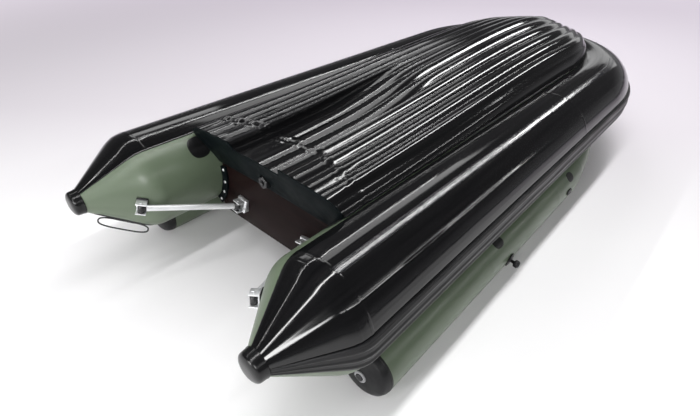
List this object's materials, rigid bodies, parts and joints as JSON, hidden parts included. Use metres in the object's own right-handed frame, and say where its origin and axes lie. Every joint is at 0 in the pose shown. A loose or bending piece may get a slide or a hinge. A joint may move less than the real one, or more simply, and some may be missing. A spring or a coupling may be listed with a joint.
{
  "type": "inflatable motor boat",
  "caption": "Keel-up inflatable motor boat: tubes with stern cones and dark armour, ribbed air bottom with a tunnel, board transom braced by stays, low bulwark tubes outside.",
  "frame": {"origin": "on the floor under the middle of the upturned boat's bounding box", "axes": "+Y to the bow, +Z to the keel side (up, as the boat lies keel up), +X to the boat's port side"},
  "size_m": [2.0394, 4.54, 0.956],
  "materials": {
    "pvc_green": "satin coated fabric",
    "pvc_black": "glossy coated fabric",
    "rubber": "satin",
    "slate": "satin",
    "plywood": "dark lacquered plywood",
    "bright_metal": "bright",
    "grey_plastic": "satin",
    "grip": "matt"
  },
  "bodies": {
    "hull": {"armour_bow": "pvc_black", "armour_side_port": "pvc_black", "armour_side_starboard": "pvc_black", "bow_tube": "pvc_green", "bulwark_cap_port": "rubber", "bulwark_cap_starboard": "rubber", "bulwark_nose_port": "rubber", "bulwark_nose_starboard": "rubber", "bulwark_port": "pvc_green", "bulwark_starboard": "pvc_green", "bulwark_tab_port": "rubber", "bulwark_tab_starboard": "rubber", "bulwark_valve_port": "grey_plastic", "bulwark_valve_starboard": "grey_plastic", "cone_cap_port": "rubber", "cone_cap_starboard": "rubber", "cone_fork_pad_port": "rubber", "cone_fork_pad_starboard": "rubber", "cone_fork_port": "bright_metal", "cone_fork_starboard": "bright_metal", "drain_valve_body": "rubber", "drain_valve_nut": "rubber", "grab_line_patch_aft_port": "rubber", "grab_line_patch_aft_starboard": "rubber", "grab_line_patch_fore_port": "rubber", "grab_line_patch_fore_starboard": "rubber", "inflatable_bottom": "pvc_black", "oarlock_base_port": "rubber", "oarlock_base_starboard": "rubber", "rubbing_strake_bow": "pvc_black", "rubbing_strake_port": "pvc_black", "rubbing_strake_starboard": "pvc_black", "side_tube_port": "pvc_green", "side_tube_starboard": "pvc_green", "stern_cone_port": "pvc_green", "stern_cone_starboard": "pvc_green", "stern_handle_port": "grip", "stern_handle_starboard": "grip", "transom_board": "plywood", "transom_bolts_port": "bright_metal", "transom_bolts_starboard": "bright_metal", "transom_fairing": "slate", "transom_fork_port": "bright_metal", "transom_fork_starboard": "bright_metal", "transom_holder_port": "slate", "transom_holder_starboard": "slate", "transom_pin_port": "bright_metal", "transom_pin_starboard": "bright_metal", "wear_tape_port": "pvc_black", "wear_tape_starboard": "pvc_black"},
    "stay_port": {"stay_port": "bright_metal"},
    "cone_pin_port": {"cone_pin_port": "bright_metal"},
    "oarlock_port": {"oarlock_port": "rubber"},
    "bulwark_valve_cap_port": {"bulwark_valve_cap_port": "rubber"},
    "stay_starboard": {"stay_starboard": "bright_metal"},
    "cone_pin_starboard": {"cone_pin_starboard": "bright_metal"},
    "oarlock_starboard": {"oarlock_starboard": "rubber"},
    "bulwark_valve_cap_starboard": {"bulwark_valve_cap_starboard": "rubber"},
    "drain_plug": {"drain_plug": "grey_plastic"}
  },
  "joints": [
    {"name": "stay_swing_port", "type": "hinge", "parent": "hull", "child": "stay_port", "pos_m": [0.25, -1.607, 0.375], "axis": [-0.1508, 0.1945, 0.9693], "range_deg": [-75, 0]},
    {"name": "cone_pin_pull_port", "type": "slide", "parent": "hull", "child": "cone_pin_port", "axis": [-0.1508, 0.1945, 0.9693], "range_m": [0, 0.078]},
    {"name": "valve_cap_pull_port", "type": "slide", "parent": "hull", "child": "bulwark_valve_cap_port", "axis": [0, -1, 0], "range_m": [0, 0.03]},
    {"name": "oarlock_turn_port", "type": "hinge", "parent": "hull", "child": "oarlock_port", "pos_m": [0.9663, -0.657, 0.1083], "axis": [0.9877, 0, -0.1564], "continuous": true},
    {"name": "stay_swing_starboard", "type": "hinge", "parent": "hull", "child": "stay_starboard", "pos_m": [-0.25, -1.607, 0.375], "axis": [0.1508, 0.1945, 0.9693], "range_deg": [0, 75]},
    {"name": "cone_pin_pull_starboard", "type": "slide", "parent": "hull", "child": "cone_pin_starboard", "axis": [0.1508, 0.1945, 0.9693], "range_m": [0, 0.078]},
    {"name": "valve_cap_pull_starboard", "type": "slide", "parent": "hull", "child": "bulwark_valve_cap_starboard", "axis": [0, -1, 0], "range_m": [0, 0.03]},
    {"name": "oarlock_turn_starboard", "type": "hinge", "parent": "hull", "child": "oarlock_starboard", "pos_m": [-0.9663, -0.657, 0.1083], "axis": [-0.9877, 0, -0.1564], "continuous": true},
    {"name": "drain_plug_pull", "type": "slide", "parent": "hull", "child": "drain_plug", "axis": [0, 1, 0], "range_m": [0, 0.05]}
  ]
}
